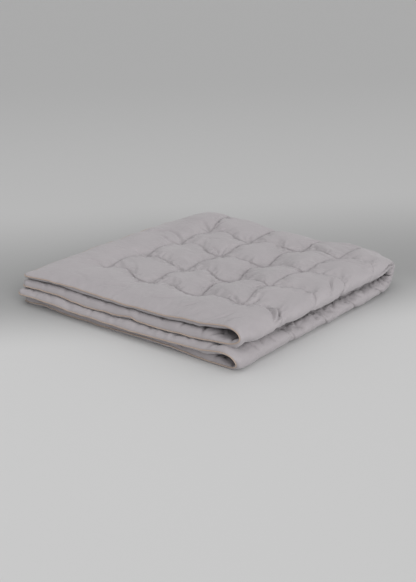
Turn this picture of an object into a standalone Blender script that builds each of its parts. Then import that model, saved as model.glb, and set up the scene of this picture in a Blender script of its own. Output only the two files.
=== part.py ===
# Filled and quilted throw with a corded hem, folded in half and then in half again.
#
# The cloth has its own coordinates: u runs across the throw and v along it, both zero in its middle.
# The first fold lies at u = 0 and ends up on the +X side. The second lies at v = 0, on the +Y side.
# That leaves four layers: top (u > 0, v > 0), second (u < 0, v > 0), third (u < 0, v < 0) and
# bottom (u > 0, v < 0). Their hems lie over each other on the -X and -Y sides.

import bpy
import numpy as np

MM = 0.001

# Cut size and quilting
HALF_WIDTH = 690 * MM
HALF_LENGTH = 725 * MM
CELL_U = 148 * MM
CELL_V = 135 * MM
FIRST_SEAM_U = -40 * MM     # the seam nearest to the first fold, hidden on its under side
FIRST_SEAM_V = 35 * MM      # the seam nearest to the second fold, on its upper side
LAST_SEAMS_U = (-3, 4)      # the quilted field ends at these seams, with a plain band to the hem
LAST_SEAMS_V = (-4, 4)
SEAM_ZERO = 8               # place of the first seam in a table of them all
FIELD_FADE = 0.25           # how far seams run on into the band, in cells
BOW_U = 14 * MM             # how far a seam along v bows towards +u between two crossings
BOW_V = 10 * MM             # how far a seam along u bows towards -v between two crossings
SWING_V = 8 * MM            # how far it swings out to either side on the way
BOW_LEAN = 0.25             # how much fuller the bow is on its side towards -v
CORNER_RADIUS = 18 * MM
HEM_CALM = 100 * MM         # the bows flatten out over this distance towards a hem
FOLD_CALM = 60 * MM         # and over this one towards a fold
BACK_CALM = 65 * MM         # half the width of the strip at the second fold that has none

# Thickness of the filled cloth
LOFT = 20 * MM              # on the top layer
UNDER_LOFT = 17 * MM        # on the layers that carry weight
FOLD_LOFT = 13 * MM         # where the cloth turns at a fold
CORNER_LOFT = 7 * MM        # where both folds meet
EDGE = 3.5 * MM             # at the hem and in the stitched seams
TOP_HEM_RISE = 55 * MM      # from the hem inwards to the full loft, on the upper side of the top layer
HEM_RISE = 22 * MM          # the same on all other sides
LAYER_GAP = 3 * MM          # left between two layers where they lie on each other
FOLD_OPENING_U = 90 * MM    # the layers part within this distance of the first fold
FOLD_OPENING_V = 110 * MM   # and of the second
OPENING_BLEND = 80 * MM     # and reach each other over this one
NODE_PINCH = 22 * MM        # reach of the tuck where two seams cross
FOLD_SPREAD = 52 * MM       # how far the thin cloth of a fold reaches to either side of it
TOP_SPREAD = 80 * MM        # from a fold to where the top layer has its own loft

# Piping
PIPING_RADIUS = 1.6 * MM
PIPING_GAP = 0.3 * MM
PIPING_SIDES = 6

# Folded plan
LEFT_HEM = -330 * MM
FRONT_HEM = -350 * MM
SPINE_ARC = 40 * MM         # length of cloth in each half of the turn at the first fold
SPINE_REACH = 24 * MM       # how far that turn bulges
BACK_CENTRE = 314 * MM      # where the cloth starts to turn at the second fold
BACK_REACH = 12 * MM        # how far the second fold bulges for each layer step
BACK_FULLNESS = 1.15        # cloth taken up by that turn, against its reach
GATHER_WIDTH = 70 * MM      # the first fold is gathered over this width where it is folded again
GATHER_LENGTH = 38 * MM     # how far the second fold is drawn in there
GATHER_BULGE = 13 * MM      # how much further it bulges there for each layer step
GATHER_FULLNESS = 0.38      # how much less cloth it takes up there
CORNER_SOFTNESS = 110 * MM  # how far the rounding of the corner where both folds meet reaches
CORNER_ROUNDING = 0.12      # share of that reach which the corner itself moves in
HEM_BLEND = 70 * MM         # from a hem inwards to the even stack
FRONT_SHARE = 3             # the left hem steps out within one third of the way from fold to hem
SLOPE_STEP = 0.5 * MM       # half the distance over which the cloth's slope is taken
STEPS = np.array([-3.0, -1.0, 1.0, 3.0])    # the four layers from the bottom, counted from mid stack

# How far each layer stands out past the common lines
LAYERS = np.array([
    # front hem, left hem, first fold, how much more that fold gapes at its open front end
    [0, 4, 348, 3],
    [17, 8, 350, 3],
    [3, 4, 352, 18],
    [0, 2, 354, 18],
]) * MM

# Mid heights of the even stack, from the left to the first fold
STACK = np.array([
    # x, bottom, third, second, top
    [-330, 7, 29, 51, 76],
    [-100, 7, 29, 51, 78],
    [110, 7, 30, 52, 81],
    [200, 7, 31, 54, 88],
    [290, 6, 35, 57, 88],
    [360, 6, 35, 57, 86],
]) * MM

# Seam crossings that show on top, as they lie in the photo: the numbers of the two seams, how far the
# crossing is off the even grid, how far the seam along v bows on its way from there towards -v, and the
# bow and the swing of the seam along u on its way towards -u
SHOWN_SEAMS = np.array([
    # number in u, number in v, off in u, off in v, bow along v, bow along u, swing
    [4, 4, 2, -9, 14, 8, 15],
    [4, 3, -10, -10, 13, 8, 3],
    [4, 2, -14, 1, 9, 12, 14],
    [4, 1, -22, 20, 12, 10, 10],
    [3, 4, -2, 11, 9, 0, 11],
    [3, 3, -6, 32, 9, 8, 18],
    [3, 2, -8, 19, 5, 0, 4],
    [3, 1, 0, 22, 9, 10, 10],
    [2, 4, 16, 3, 20, 1, 3],
    [2, 3, 10, 8, 17, 7, 1],
    [2, 2, 22, 8, 19, 12, 4],
    [2, 1, 18, -16, 16, 10, 6],
    [1, 4, -2, 17, 10, 14, 4],
    [1, 3, 30, 18, 8, 25, 5],
    [1, 2, 24, 13, 8, 11, 2],
    [1, 1, 20, 0, 8, 11, 4],
])

# Heights of the four hems along the front, from the left corner to the first fold
FRONT = np.array([
    # x, bottom, third, second, top
    [-330, 4, 27, 45, 71],
    [-250, 9, 29, 48, 76],
    [-200, 5, 27, 50, 78],
    [-150, 4, 24, 43, 80],
    [-80, 4, 25, 43, 78],
    [0, 7, 24, 45, 76],
    [40, 8, 24, 50, 76],
    [100, 9, 27, 46, 80],
    [170, 9, 29, 48, 83],
    [220, 6, 31, 50, 85],
    [260, 4, 35, 54, 88],
    [310, 4, 43, 59, 97],
    [360, 4, 43, 59, 97],
]) * MM

# The same along the left, from the front corner to the second fold
LEFT = np.array([
    # y, bottom, third, second, top
    [-370, 4, 27, 45, 71],
    [-300, 6, 28, 46, 72],
    [-200, 4, 26, 49, 76],
    [-100, 5, 29, 50, 79],
    [0, 4, 27, 51, 80],
    [100, 6, 29, 51, 82],
    [200, 5, 29, 53, 83],
    [300, 7, 30, 53, 78],
    [360, 7, 30, 53, 76],
]) * MM

# Soft rises and hollows of the top layer
SWELLS = np.array([
    # x, y, reach in x, reach in y, height
    [215, -60, 60, 210, 5],
    [128, -20, 34, 300, -7],
    [-90, 120, 90, 120, 4],
    [-230, 250, 90, 70, 8],
    [-40, 300, 60, 60, -4],
    [-190, 310, 200, 130, 17],
]) * MM

# The top layer lies bunched and drawn out between its seams: cloth from the first fold, place over the legs
TOP_DRIFT = np.array([
    # cloth, place
    [0, 0],
    [68, 69],
    [216, 182],
    [364, 342],
    [512, 502],
    [650, 640],
]) * MM

# How firmly the seams are drawn in, from the one at the fold outwards on the upper half
SEAM_PULL_U = {-4: 0, -1: 0.9, 0: 0.9, 1: 0.45, 2: 1.0, 3: 0.9, 4: 0.75}
SEAM_PULL_V = {-5: 0, 0: 0.8, 1: 0.8, 2: 0.85, 3: 0.85, 4: 0.8, 5: 0}
PLAIN_PULL = 0.85

# Grid lines of the mesh: stops across the cloth and the steps from one stop to the next
LINES_U = [
    # stop, steps
    (-690, 1), (-682, 1), (-665, 1), (-632, 3), (-484, 3), (-336, 3), (-188, 5), (-40, 2), (-20, 6),
    (20, 2), (40, 3), (108, 5), (256, 5), (404, 5), (552, 4), (665, 1), (682, 1), (690, 0),
]
LINES_V = [
    # stop, steps
    (-725, 1), (-717, 1), (-700, 1), (-640, 3), (-505, 3), (-370, 3), (-235, 4), (-100, 2), (-65, 3),
    (-21, 6), (21, 1), (35, 2), (65, 4), (170, 5), (305, 5), (440, 5), (575, 4), (700, 1), (717, 1), (725, 0),
]
WHOLE_CELL = 120    # a stretch longer than this, in millimetres, is a whole cell between two seams
SEAM_ANGLE = 26     # folds of the surface sharper than this, in degrees, are drawn as a crease


def grid_lines(stops):
    """Places of the grid lines across the cloth, crowded towards the seams in each whole cell."""
    places = []
    for (start, steps), (end, _) in zip(stops, stops[1:]):
        shares = np.arange(steps) / steps
        if end - start > WHOLE_CELL:
            shares = (1 - np.cos(np.pi * shares)) / 2
        places += list(start + (end - start) * shares)
    return np.array(places + [stops[-1][0]]) * MM


def smooth(value):
    """Smooth step from 0 to 1."""
    value = np.clip(value, 0, 1)
    return value * value * (3 - 2 * value)


def seam_numbers(u, v):
    """Seam coordinates of a cloth place before the bows: whole numbers are seams."""
    return (u - FIRST_SEAM_U) / CELL_U, (v - FIRST_SEAM_V) / CELL_V


def seam_table(column, usual):
    """A column of the shown crossings over all seam numbers, with the usual value elsewhere."""
    table = np.full((2 * SEAM_ZERO, 2 * SEAM_ZERO), usual)
    numbers = SHOWN_SEAMS[:, :2].astype(int) + SEAM_ZERO
    table[numbers[:, 0], numbers[:, 1]] = SHOWN_SEAMS[:, column] * MM
    return table


def bowed(u, v):
    """Cloth places of even grid places: moved along with the seams' bows, and with round corners."""
    s, t = seam_numbers(u, v)
    low, front = np.floor(s).astype(int) + SEAM_ZERO, np.floor(t).astype(int) + SEAM_ZERO
    a, b = s % 1, t % 1
    bow_u, bow_v, swing = seam_table(4, BOW_U), seam_table(5, BOW_V), seam_table(6, SWING_V)
    peak = np.sin(np.pi * b) + BOW_LEAN * np.sin(2 * np.pi * b)
    move_u = peak * ((1 - a) * bow_u[low, front + 1] + a * bow_u[low + 1, front + 1])
    arc, turn = -np.sin(np.pi * a), np.sin(2 * np.pi * a)
    move_v = (1 - b) * (arc * bow_v[low + 1, front] + turn * swing[low + 1, front])
    move_v += b * (arc * bow_v[low + 1, front + 1] + turn * swing[low + 1, front + 1])
    for right, far in ((0, 0), (1, 0), (0, 1), (1, 1)):
        share = (a if right else 1 - a) * (b if far else 1 - b)
        move_u += share * seam_table(2, 0.0)[low + right, front + far]
        move_v += share * seam_table(3, 0.0)[low + right, front + far]
    hem = np.clip(hem_distance(u, v) / HEM_CALM, 0, 1)
    calm_u = hem * np.clip((np.abs(u) - SPINE_ARC) / FOLD_CALM, 0, 1)
    calm_v = hem * np.clip((np.abs(v) - BACK_CALM) / FOLD_CALM, 0, 1)
    u = u + move_u * calm_u
    v = v + move_v * calm_v
    p = np.clip((np.abs(u) - HALF_WIDTH + CORNER_RADIUS) / CORNER_RADIUS, 0, 1)
    q = np.clip((np.abs(v) - HALF_LENGTH + CORNER_RADIUS) / CORNER_RADIUS, 0, 1)
    return (u - np.sign(u) * CORNER_RADIUS * p * (1 - np.sqrt(1 - q * q / 2)),
            v - np.sign(v) * CORNER_RADIUS * q * (1 - np.sqrt(1 - p * p / 2)))


def hem_distance(u, v):
    """Distance from a cloth place to the nearest hem."""
    return np.minimum(HALF_WIDTH - np.abs(u), HALF_LENGTH - np.abs(v))


def stack_heights(x, y):
    """Mid heights of the four layers over a plan point, bottom first."""
    from_front = smooth((y - FRONT_HEM) / HEM_BLEND)
    from_left = smooth((x - LEFT_HEM) / HEM_BLEND)
    near = (1 - from_front) + (1 - from_left) + 1e-9
    heights = []
    for layer in range(4):
        front = np.interp(x, FRONT[:, 0], FRONT[:, layer + 1])
        left = np.interp(y, LEFT[:, 0], LEFT[:, layer + 1])
        hem = (front * (1 - from_front) + left * (1 - from_left)) / near
        share = from_front * from_left
        even = np.interp(x, STACK[:, 0], STACK[:, layer + 1])
        heights.append(even * share + hem * (1 - share))
    for place_x, place_y, reach_x, reach_y, rise in SWELLS:
        bump = np.exp(-((x - place_x) / reach_x) ** 2 - ((y - place_y) / reach_y) ** 2)
        heights[3] = heights[3] + rise * bump * from_left
    return heights


def between_layers(step, heights):
    """Height at a step count: straight between the four layers."""
    total = heights[0] + 0.0 * step
    for layer in range(3):
        share = np.clip((step - STEPS[layer]) / 2, 0, 1)
        total = total + share * (heights[layer + 1] - heights[layer])
    return total


def mid_cloth(u, v):
    """Place of the cloth's middle: the turn at the first fold, then at the second, then the stack.

    Each fold is half an ellipse with a straight leg on either side. A point's step tells how many
    half layers it lies over mid stack.
    """
    turn = np.clip(u / SPINE_ARC, -1, 1) * np.pi / 2
    radius = 2 + np.sin(turn)
    gather = np.exp(-(u / GATHER_WIDTH) ** 2)
    centre = BACK_CENTRE - gather * GATHER_LENGTH
    back_reach = BACK_REACH + gather * GATHER_BULGE
    arc = radius * back_reach * (BACK_FULLNESS - gather * GATHER_FULLNESS) * np.pi / 2
    swing = np.clip(v / arc, -1, 1) * np.pi / 2
    step = radius * np.sin(swing)

    leg_y = np.clip((np.abs(v) - arc) / (HALF_LENGTH - arc), 0, 1)
    out_front = np.interp(step, STEPS, LAYERS[:, 0])
    y = centre + radius * back_reach * np.cos(swing) - leg_y * (centre - FRONT_HEM + out_front)

    gape = np.interp(step, STEPS, LAYERS[:, 3])
    reach = SPINE_REACH + gape * np.exp(-np.maximum(y - FRONT_HEM, 0) / HEM_BLEND)
    tip = np.interp(step, STEPS, LAYERS[:, 2])
    cloth = np.maximum(np.abs(u) - SPINE_ARC, 0)
    leg_x = cloth / (HALF_WIDTH - SPINE_ARC)
    drift = np.interp(cloth, TOP_DRIFT[:, 0], TOP_DRIFT[:, 1]) / TOP_DRIFT[-1, 1]
    leg_x = leg_x + (drift - leg_x) * np.clip((step - 1) / 2, 0, 1)
    out_left = np.interp(step, STEPS, LAYERS[:, 1]) * smooth(FRONT_SHARE * leg_y)
    x = tip - reach * (1 - np.cos(turn)) - leg_x * (tip - reach - LEFT_HEM + out_left)

    corner_x = LAYERS[3, 2] - CORNER_SOFTNESS
    corner_y = BACK_CENTRE + 3 * BACK_REACH - CORNER_SOFTNESS
    p = np.clip((x - corner_x) / CORNER_SOFTNESS, 0, 1)
    q = np.clip((y - corner_y) / CORNER_SOFTNESS, 0, 1)
    x = x - CORNER_ROUNDING * CORNER_SOFTNESS * p * q * q
    y = y - CORNER_ROUNDING * CORNER_SOFTNESS * q * p * p
    return np.stack([x, y, between_layers(step, stack_heights(x, y))], axis=-1)


def cloth_normals(u, v):
    """Unit normals of the mid cloth, up on the top layer."""
    along_u = mid_cloth(u + SLOPE_STEP, v) - mid_cloth(u - SLOPE_STEP, v)
    along_v = mid_cloth(u, v + SLOPE_STEP) - mid_cloth(u, v - SLOPE_STEP)
    normals = np.cross(along_u, along_v)
    return normals / np.linalg.norm(normals, axis=-1, keepdims=True)


def seam_rise(seam, pulls):
    """Filling across one direction: 0 at a firm seam, 1 in mid cell, as a quarter ellipse."""
    nearest = np.rint(seam)
    pull = np.full(seam.shape, PLAIN_PULL)
    for number, firmness in pulls.items():
        pull[nearest == number] = firmness
    away = np.clip(2 * np.abs(seam - nearest), 0, 1)
    return 1 - pull * (1 - np.sqrt(1 - (1 - away) ** 2))


def in_field(seam, ends):
    """1 inside the quilted field, fading to 0 just past its last seams."""
    return 1 - smooth(np.maximum(seam - ends[1], ends[0] - seam) / FIELD_FADE)


def cover_rise(s, t, u, v, outside):
    """How far one cover stands off the cloth's middle: the loft drawn in at seams, crossings and hem.

    Where layers lie on each other the covers reach for the middle of the space between them.
    """
    field_u, field_v = in_field(s, LAST_SEAMS_U), in_field(t, LAST_SEAMS_V)
    rise = 1 - field_v * (1 - seam_rise(s, SEAM_PULL_U))
    rise = rise * (1 - field_u * (1 - seam_rise(t, SEAM_PULL_V)))
    node_u = (s - np.rint(s)) * CELL_U
    node_v = (t - np.rint(t)) * CELL_V
    rise = rise * (1 - field_u * field_v * np.exp(-(node_u ** 2 + node_v ** 2) / NODE_PINCH ** 2))
    on_top = smooth(u / TOP_SPREAD) * smooth(v / TOP_SPREAD)
    hem_reach = HEM_RISE + (TOP_HEM_RISE - HEM_RISE) * on_top * outside
    rise = rise * np.sqrt(1 - (1 - np.clip(hem_distance(u, v) / hem_reach, 0, 1)) ** 2)
    at_first = np.exp(-(u / FOLD_SPREAD) ** 2)
    at_second = np.exp(-(v / FOLD_SPREAD) ** 2)
    loft = UNDER_LOFT + (LOFT - UNDER_LOFT) * on_top
    loft = loft - (loft - FOLD_LOFT) * np.maximum(at_first, at_second)
    loft = loft - (loft - CORNER_LOFT) * at_first * at_second

    place = mid_cloth(u, v)
    bottom, third, second, top = stack_heights(place[..., 0], place[..., 1])
    if outside:
        room = np.where(u > 0, loft, second - third - LAYER_GAP)
    else:
        room = np.where(v > 0, top - second, third - bottom) - LAYER_GAP
    lying = smooth((np.abs(u) - FOLD_OPENING_U) / OPENING_BLEND)
    lying = lying * smooth((np.abs(v) - FOLD_OPENING_V) / OPENING_BLEND)
    return (EDGE + (loft + (room - loft) * lying - EDGE) * rise) / 2


def closed_mesh(name, points, faces):
    """A mesh of points and faces, smooth shaded, as an object of the given name."""
    mesh = bpy.data.meshes.new(name)
    mesh.from_pydata([tuple(point) for point in points], [], [tuple(face) for face in faces])
    mesh.shade_smooth()
    mesh.set_sharp_from_angle(angle=np.radians(SEAM_ANGLE))
    mesh.update()
    thing = bpy.data.objects.new(name, mesh)
    bpy.context.scene.collection.objects.link(thing)
    return thing


def rim_indices(rows, columns):
    """Grid places once round the border, each as (row, column)."""
    ring = [(0, column) for column in range(columns - 1)]
    ring += [(row, columns - 1) for row in range(rows - 1)]
    ring += [(rows - 1, column) for column in range(columns - 1, 0, -1)]
    ring += [(row, 0) for row in range(rows - 1, 0, -1)]
    return ring


def quilt_and_rim():
    """Points and faces of the filled cloth, with its rim's middle line and normals."""
    even_u, even_v = np.meshgrid(grid_lines(LINES_U), grid_lines(LINES_V), indexing="ij")
    rows, columns = even_u.shape
    s, t = seam_numbers(even_u, even_v)
    u, v = bowed(even_u, even_v)
    middle = mid_cloth(u, v)
    normals = cloth_normals(u, v)
    outer = middle + normals * cover_rise(s, t, u, v, True)[..., None]
    inner = middle - normals * cover_rise(s, t, u, v, False)[..., None]
    outer[..., 2] = np.maximum(outer[..., 2], 0)

    count = rows * columns
    faces = []
    for row in range(rows - 1):
        for column in range(columns - 1):
            a = row * columns + column
            b = a + columns
            faces.append((a, b, b + 1, a + 1))
            faces.append((count + a, count + a + 1, count + b + 1, count + b))
    ring = [row * columns + column for row, column in rim_indices(rows, columns)]
    for a, b in zip(ring, ring[1:] + ring[:1]):
        faces.append((a, b, count + b, count + a))
    points = np.concatenate([outer.reshape(-1, 3), inner.reshape(-1, 3)])
    return points, faces, middle.reshape(-1, 3)[ring], normals.reshape(-1, 3)[ring]


def piping_mesh(rim, normals):
    """Points and faces of a closed tube that runs round just outside the rim."""
    along = np.roll(rim, -1, axis=0) - np.roll(rim, 1, axis=0)
    along /= np.linalg.norm(along, axis=1, keepdims=True)
    outwards = np.cross(normals, along)
    outwards /= np.linalg.norm(outwards, axis=1, keepdims=True)
    centre = rim + outwards * (PIPING_RADIUS + PIPING_GAP)
    points = []
    for side in range(PIPING_SIDES):
        angle = 2 * np.pi * side / PIPING_SIDES
        points.append(centre + PIPING_RADIUS * (np.cos(angle) * outwards + np.sin(angle) * normals))
    points = np.stack(points, axis=1).reshape(-1, 3)
    faces = []
    count = len(rim)
    for step in range(count):
        after = (step + 1) % count
        for side in range(PIPING_SIDES):
            beside = (side + 1) % PIPING_SIDES
            faces.append((step * PIPING_SIDES + side, step * PIPING_SIDES + beside,
                          after * PIPING_SIDES + beside, after * PIPING_SIDES + side))
    return points, faces


def plain_material(name, colour, roughness):
    """A cloth material of one colour."""
    material = bpy.data.materials.new(name)
    material.use_nodes = True
    shader = material.node_tree.nodes["Principled BSDF"]
    shader.inputs["Base Color"].default_value = (*colour, 1)
    shader.inputs["Roughness"].default_value = roughness
    shader.inputs["Metallic"].default_value = 0
    return material


def build():
    """Both pieces, with the middle of their box over the origin and the lowest point on the ground."""
    for thing in list(bpy.data.objects):
        bpy.data.objects.remove(thing)
    quilt_points, quilt_faces, rim, normals = quilt_and_rim()
    piping_points, piping_faces = piping_mesh(rim, normals)
    both = np.concatenate([quilt_points, piping_points])
    low, high = both.min(axis=0), both.max(axis=0)
    shift = np.array([(low[0] + high[0]) / 2, (low[1] + high[1]) / 2, low[2]])
    quilt = closed_mesh("quilt", quilt_points - shift, quilt_faces)
    quilt.data.materials.append(plain_material("grey_cotton", (0.37, 0.345, 0.36), 0.85))
    piping = closed_mesh("edge_piping", piping_points - shift, piping_faces)
    piping.data.materials.append(plain_material("tan_piping", (0.42, 0.31, 0.25), 0.8))
    return quilt, piping


build()
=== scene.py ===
import bpy
import numpy as np
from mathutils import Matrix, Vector


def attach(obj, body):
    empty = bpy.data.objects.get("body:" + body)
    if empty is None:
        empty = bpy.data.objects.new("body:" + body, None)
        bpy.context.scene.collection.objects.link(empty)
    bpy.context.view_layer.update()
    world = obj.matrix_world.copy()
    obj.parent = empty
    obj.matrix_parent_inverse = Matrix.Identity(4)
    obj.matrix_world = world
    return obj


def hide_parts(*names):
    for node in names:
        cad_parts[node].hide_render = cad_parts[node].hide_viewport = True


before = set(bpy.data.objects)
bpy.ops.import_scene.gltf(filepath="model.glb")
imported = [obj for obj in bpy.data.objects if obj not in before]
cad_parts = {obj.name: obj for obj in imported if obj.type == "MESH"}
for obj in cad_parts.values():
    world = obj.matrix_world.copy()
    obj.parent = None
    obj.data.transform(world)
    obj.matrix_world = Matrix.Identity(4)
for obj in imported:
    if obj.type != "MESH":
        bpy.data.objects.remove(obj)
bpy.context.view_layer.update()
mm = 0.001

# The cloth has its own coordinates: u runs across the throw and v along it, both zero in its middle.
# The first fold, at u = 0, ends up on the +X side, and the second, at v = 0, on the +Y side.
# Four layers lie over each other: top (u > 0, v > 0), second (u < 0, v > 0), third (u < 0, v < 0)
# and bottom (u > 0, v < 0). A step of -3, -1, 1 or 3 counts half layers up from mid stack.
throw = {
    "halfWidth": 690 * mm,
    "halfLength": 725 * mm,
    "cellU": 148 * mm,
    "cellV": 135 * mm,
    "firstSeamU": -40 * mm,
    "firstSeamV": 35 * mm,
    "bowU": 14 * mm,             # how far a seam along v bows towards +u between two crossings
    "bowV": 10 * mm,             # how far a seam along u bows towards -v
    "skewV": 8 * mm,             # how far it swings out to either side on the way
    "bowFromHem": 100 * mm,      # from a hem inwards to the full bows
    "bowFromFold": 60 * mm,      # from the turn at a fold to the full bows
    "backTurn": 65 * mm,         # cloth in each half of the turn at the second fold
    "cornerRadius": 18 * mm,
    "spineArc": 40 * mm,         # cloth in each half of the turn at the first fold
    "spineReach": 24 * mm,       # how far that turn bulges
    "backCentre": 314 * mm,      # where the cloth starts to turn at the second fold
    "backReach": 12 * mm,        # how far that turn bulges for each step
    "backFullness": 1.15,        # cloth in each half of that turn against a true quarter circle
    "gatherWidth": 70 * mm,      # the first fold is gathered over this width where it is folded again
    "gatherLength": 38 * mm,     # and drawn in by this much
    "gatherBulge": 3,            # each step of the turn bulges there by gatherLength over this as well
    "gatherFullness": -0.38,     # what the gathers add to backFullness
    "leftHem": -330 * mm,
    "frontHem": -350 * mm,
    "hemBlend": 70 * mm,         # from a hem inwards to the even stack
    "hemWave": 1.3 * mm,         # how far the hems themselves rise and fall
    "hemWaveSize": 30 * mm,
    "hemWaveReach": 18 * mm,
    "cornerSoftness": 110 * mm,  # how far from the double corner its plan is rounded, and by what share
    "cornerRounding": 0.12,
    "zeroSeam": 8,               # place of seam 0 in a table of seams
    "shownSeams": np.array([     # the crossings on the top layer, by their seam numbers s and t
        # s, t, shift in u and in v, bow of the seam to lower t, bow and skew of the seam to lower s
        [4, 4, 2, -9, 14, 8, 15],
        [4, 3, -10, -10, 13, 8, 3],
        [4, 2, -14, 1, 9, 12, 14],
        [4, 1, -22, 20, 12, 10, 10],
        [3, 4, -2, 11, 9, 0, 11],
        [3, 3, -6, 32, 9, 8, 18],
        [3, 2, -8, 19, 5, 0, 4],
        [3, 1, 0, 22, 9, 10, 10],
        [2, 4, 16, 3, 20, 1, 3],
        [2, 3, 10, 8, 17, 7, 1],
        [2, 2, 22, 8, 19, 12, 4],
        [2, 1, 18, -16, 16, 10, 6],
        [1, 4, -2, 17, 10, 14, 4],
        [1, 3, 30, 18, 8, 25, 5],
        [1, 2, 24, 13, 8, 11, 2],
        [1, 1, 20, 0, 8, 11, 4],
    ]),
    "boxMiddle": (9.0 * mm, -7.02 * mm, 0),      # the stack's middle in the coordinates of the folds
    "steps": [-3, -1, 1, 3],
    "layers": np.array([         # front hem, left hem, first fold tip, gape of that fold at the front
        [0, 4, 348, 3],
        [17, 8, 350, 3],
        [3, 4, 352, 18],
        [0, 2, 354, 18],
    ]) * mm,
    "stack": np.array([          # x, then mid heights of bottom, third, second and top
        [-330, 7, 29, 51, 76],
        [-100, 7, 29, 51, 78],
        [110, 7, 30, 52, 81],
        [200, 7, 31, 54, 88],
        [290, 6, 35, 57, 88],
        [360, 6, 35, 57, 86],
    ]) * mm,
    "front": np.array([          # x along the front hems, then their four heights
        [-330, 4, 27, 45, 71],
        [-250, 9, 29, 48, 76],
        [-200, 5, 27, 50, 78],
        [-150, 4, 24, 43, 80],
        [-80, 4, 25, 43, 78],
        [0, 7, 24, 45, 76],
        [28, 8, 24, 50, 76],
        [42, 8, 24, 51, 76],
        [58, 8, 24, 46, 77],
        [100, 9, 27, 46, 80],
        [170, 9, 29, 48, 83],
        [220, 6, 31, 50, 85],
        [260, 4, 35, 54, 88],
        [310, 4, 43, 59, 97],
        [360, 4, 43, 59, 97],
    ]) * mm,
    "left": np.array([           # y along the left hems, then their four heights
        [-370, 4, 27, 45, 71],
        [-300, 6, 28, 46, 72],
        [-200, 4, 26, 49, 76],
        [-100, 5, 29, 50, 79],
        [0, 4, 27, 51, 80],
        [100, 6, 29, 51, 82],
        [200, 5, 29, 53, 83],
        [300, 7, 30, 53, 78],
        [360, 7, 30, 53, 76],
    ]) * mm,
    "swells": np.array([         # soft rises of the top layer: x, y, reach in x, reach in y, height
        [215, -60, 60, 210, 5],
        [128, -20, 34, 300, -7],
        [-90, 120, 90, 120, 4],
        [-230, 250, 90, 70, 8],
        [-40, 300, 60, 60, -4],
        [-190, 310, 200, 130, 17],
    ]) * mm,
    "topDrift": np.array([       # cloth beyond the first fold, and how far along the top it lies
        [0, 0],
        [68, 69],
        [216, 182],
        [364, 342],
        [512, 502],
        [650, 640],
    ]) * mm,
}


def smoothStep(value):  # 3x^2 - 2x^3 between 0 and 1
    value = np.clip(value, 0, 1)
    return value * value * (3 - 2 * value)


def softNoise(x, y, size, seed):  # random heights on a square lattice, joined by smooth steps, from -1 to 1
    count = 128
    lattice = np.random.default_rng(seed).uniform(-1, 1, (count, count))
    column, row = np.floor(x / size).astype(int), np.floor(y / size).astype(int)
    a, b = smoothStep(x / size - column), smoothStep(y / size - row)
    left, right, low, high = column % count, (column + 1) % count, row % count, (row + 1) % count
    near = lattice[left, low] * (1 - a) + lattice[right, low] * a
    far = lattice[left, high] * (1 - a) + lattice[right, high] * a
    return near * (1 - b) + far * b


# Mid heights of the four layers over a plan point: the hems' heights, blended into those of the even stack
def layerHeights(x, y):
    fromFront = smoothStep((y - throw["frontHem"]) / throw["hemBlend"])
    fromLeft = smoothStep((x - throw["leftHem"]) / throw["hemBlend"])
    near = (1 - fromFront) + (1 - fromLeft) + 1e-9      # never nothing, because it divides
    share = fromFront * fromLeft
    heights = []
    for layer in range(1, 5):
        front = np.interp(x, throw["front"][:, 0], throw["front"][:, layer])
        left = np.interp(y, throw["left"][:, 0], throw["left"][:, layer])
        even = np.interp(x, throw["stack"][:, 0], throw["stack"][:, layer])
        hem = (front * (1 - fromFront) + left * (1 - fromLeft)) / near
        heights.append(even * share + hem * (1 - share))
    for placeX, placeY, reachX, reachY, rise in throw["swells"]:
        bump = np.exp(-((x - placeX) / reachX) ** 2 - ((y - placeY) / reachY) ** 2)
        heights[3] = heights[3] + rise * bump * fromLeft
    return heights


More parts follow.
